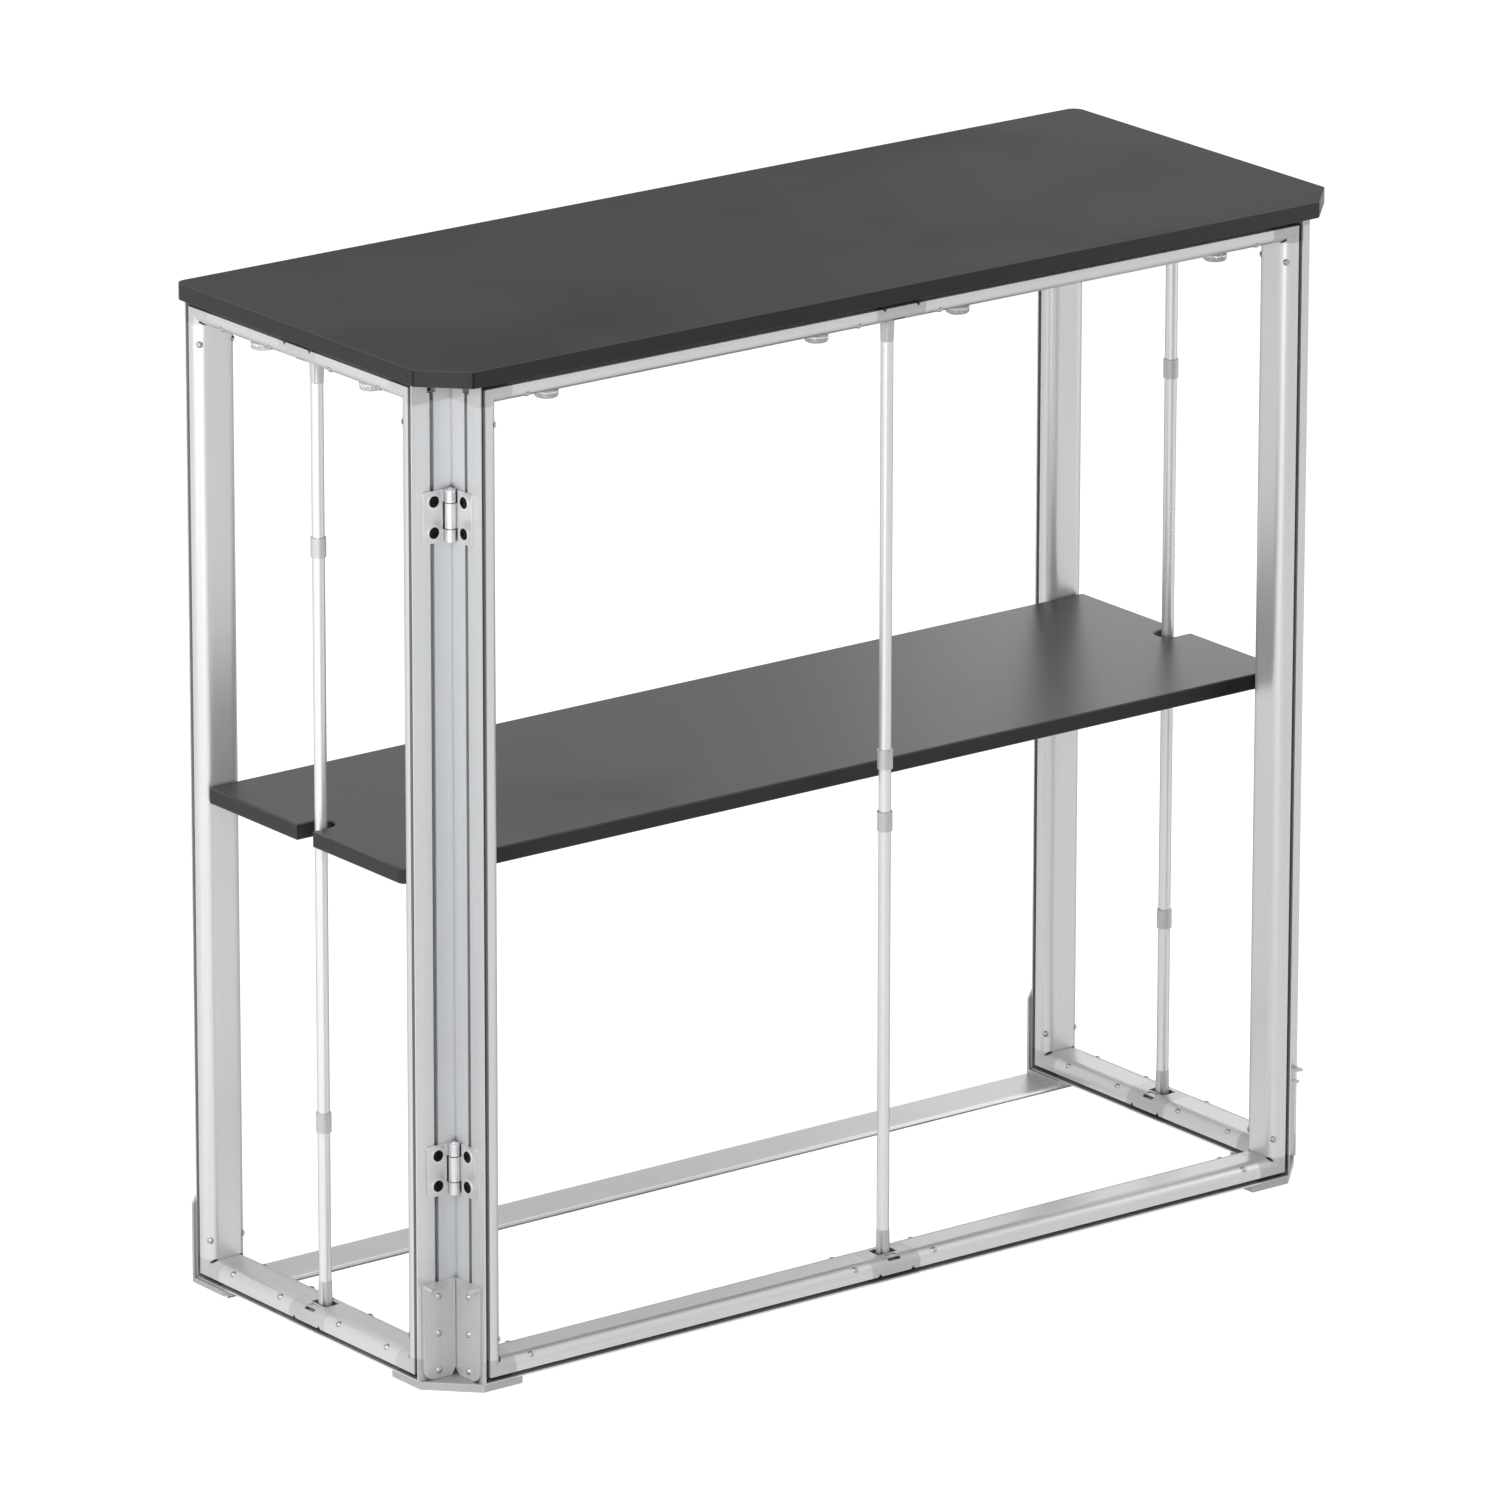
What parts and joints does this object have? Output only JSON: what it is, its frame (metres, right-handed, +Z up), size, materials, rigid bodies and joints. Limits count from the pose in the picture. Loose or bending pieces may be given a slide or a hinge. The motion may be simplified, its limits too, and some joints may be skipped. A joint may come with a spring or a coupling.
{
  "type": "exhibition counter",
  "caption": "Portable exhibition counter: silver aluminium frames on hinges, black worktop with chamfered front corners, open back and a loose inner shelf",
  "frame": {"origin": "centre of the footprint at floor level", "axes": "X along the counter with the left end at -X, Y to the open back, Z up"},
  "size_m": [1.085, 0.424, 1],
  "materials": {
    "profile_aluminium": "satin anodised extrusion",
    "pole_aluminium": "pale satin tube",
    "grey_fitting": "light grey moulded fitting",
    "plate_steel": "satin zinc plated plate",
    "bright_screw": "bright domed screw",
    "black_screw": "blackened socket screw",
    "black_board": "matt black laminate board",
    "insert_brass": "plain turned insert",
    "knob_plastic": "pale clear moulded knob"
  },
  "bodies": {
    "front_frame": {"front_left_post": "profile_aluminium", "front_right_post": "profile_aluminium", "front_bottom_rails": "profile_aluminium", "front_top_rails": "profile_aluminium", "front_corner_connectors": "grey_fitting", "front_mid_connectors": "grey_fitting", "front_pole_sleeves": "grey_fitting", "front_pole_sockets": "grey_fitting", "front_pole_tubes": "pole_aluminium", "front_screws": "bright_screw", "front_hinge_leaves": "plate_steel", "hinge_pins": "plate_steel", "front_base_plates": "plate_steel", "front_corner_wings": "plate_steel", "tie_strip": "plate_steel", "front_leaf_screws": "black_screw", "counter_top": "black_board", "top_inserts": "insert_brass"},
    "left_frame": {"left_front_post": "profile_aluminium", "left_rear_post": "profile_aluminium", "left_bottom_rails": "profile_aluminium", "left_top_rails": "profile_aluminium", "left_corner_connectors": "grey_fitting", "left_mid_connectors": "grey_fitting", "left_pole_sleeves": "grey_fitting", "left_pole_sockets": "grey_fitting", "left_pole_tubes": "pole_aluminium", "left_screws": "bright_screw", "left_hinge_leaves": "plate_steel", "left_corner_wing": "plate_steel", "left_rear_foot": "plate_steel", "left_leaf_screws": "black_screw", "left_shelf_pegs": "grey_fitting"},
    "right_frame": {"right_front_post": "profile_aluminium", "right_rear_post": "profile_aluminium", "right_bottom_rails": "profile_aluminium", "right_top_rails": "profile_aluminium", "right_corner_connectors": "grey_fitting", "right_mid_connectors": "grey_fitting", "right_pole_sleeves": "grey_fitting", "right_pole_sockets": "grey_fitting", "right_pole_tubes": "pole_aluminium", "right_screws": "bright_screw", "right_hinge_leaves": "plate_steel", "right_corner_wing": "plate_steel", "right_rear_foot": "plate_steel", "right_leaf_screws": "black_screw", "right_shelf_pegs": "grey_fitting"},
    "shelf": {"shelf": "black_board"},
    "knob_front_far_left": {"knob_front_far_left": "knob_plastic"},
    "knob_front_left": {"knob_front_left": "knob_plastic"},
    "knob_front_right": {"knob_front_right": "knob_plastic"},
    "knob_front_far_right": {"knob_front_far_right": "knob_plastic"},
    "knob_left_front": {"knob_left_front": "knob_plastic"},
    "knob_left_rear": {"knob_left_rear": "knob_plastic"},
    "knob_right_front": {"knob_right_front": "knob_plastic"},
    "knob_right_rear": {"knob_right_rear": "knob_plastic"}
  },
  "joints": [
    {"name": "left_swing", "type": "hinge", "parent": "front_frame", "child": "left_frame", "pos_m": [-0.4958, -0.1653, 0.5], "axis": [0, 0, 1], "range_deg": [0, 40]},
    {"name": "right_swing", "type": "hinge", "parent": "front_frame", "child": "right_frame", "pos_m": [0.4958, -0.1653, 0.5], "axis": [0, 0, -1], "range_deg": [0, 40]},
    {"name": "shelf_lift", "type": "slide", "parent": "front_frame", "child": "shelf", "axis": [0, 0, 1], "range_m": [0, 0.4]},
    {"name": "front_far_left_knob_turn", "type": "hinge", "parent": "front_frame", "child": "knob_front_far_left", "pos_m": [-0.398, -0.182, 0.9575], "axis": [0, 0, 1], "continuous": true},
    {"name": "front_left_knob_turn", "type": "hinge", "parent": "front_frame", "child": "knob_front_left", "pos_m": [-0.084, -0.182, 0.9575], "axis": [0, 0, 1], "continuous": true},
    {"name": "front_right_knob_turn", "type": "hinge", "parent": "front_frame", "child": "knob_front_right", "pos_m": [0.084, -0.182, 0.9575], "axis": [0, 0, 1], "continuous": true},
    {"name": "front_far_right_knob_turn", "type": "hinge", "parent": "front_frame", "child": "knob_front_far_right", "pos_m": [0.398, -0.182, 0.9575], "axis": [0, 0, 1], "continuous": true},
    {"name": "left_front_knob_turn", "type": "hinge", "parent": "front_frame", "child": "knob_left_front", "pos_m": [-0.5125, -0.0645, 0.9575], "axis": [0, 0, 1], "continuous": true},
    {"name": "left_rear_knob_turn", "type": "hinge", "parent": "front_frame", "child": "knob_left_rear", "pos_m": [-0.5125, 0.1095, 0.9575], "axis": [0, 0, 1], "continuous": true},
    {"name": "right_front_knob_turn", "type": "hinge", "parent": "front_frame", "child": "knob_right_front", "pos_m": [0.5125, -0.0645, 0.9575], "axis": [0, 0, 1], "continuous": true},
    {"name": "right_rear_knob_turn", "type": "hinge", "parent": "front_frame", "child": "knob_right_rear", "pos_m": [0.5125, 0.1095, 0.9575], "axis": [0, 0, 1], "continuous": true}
  ]
}
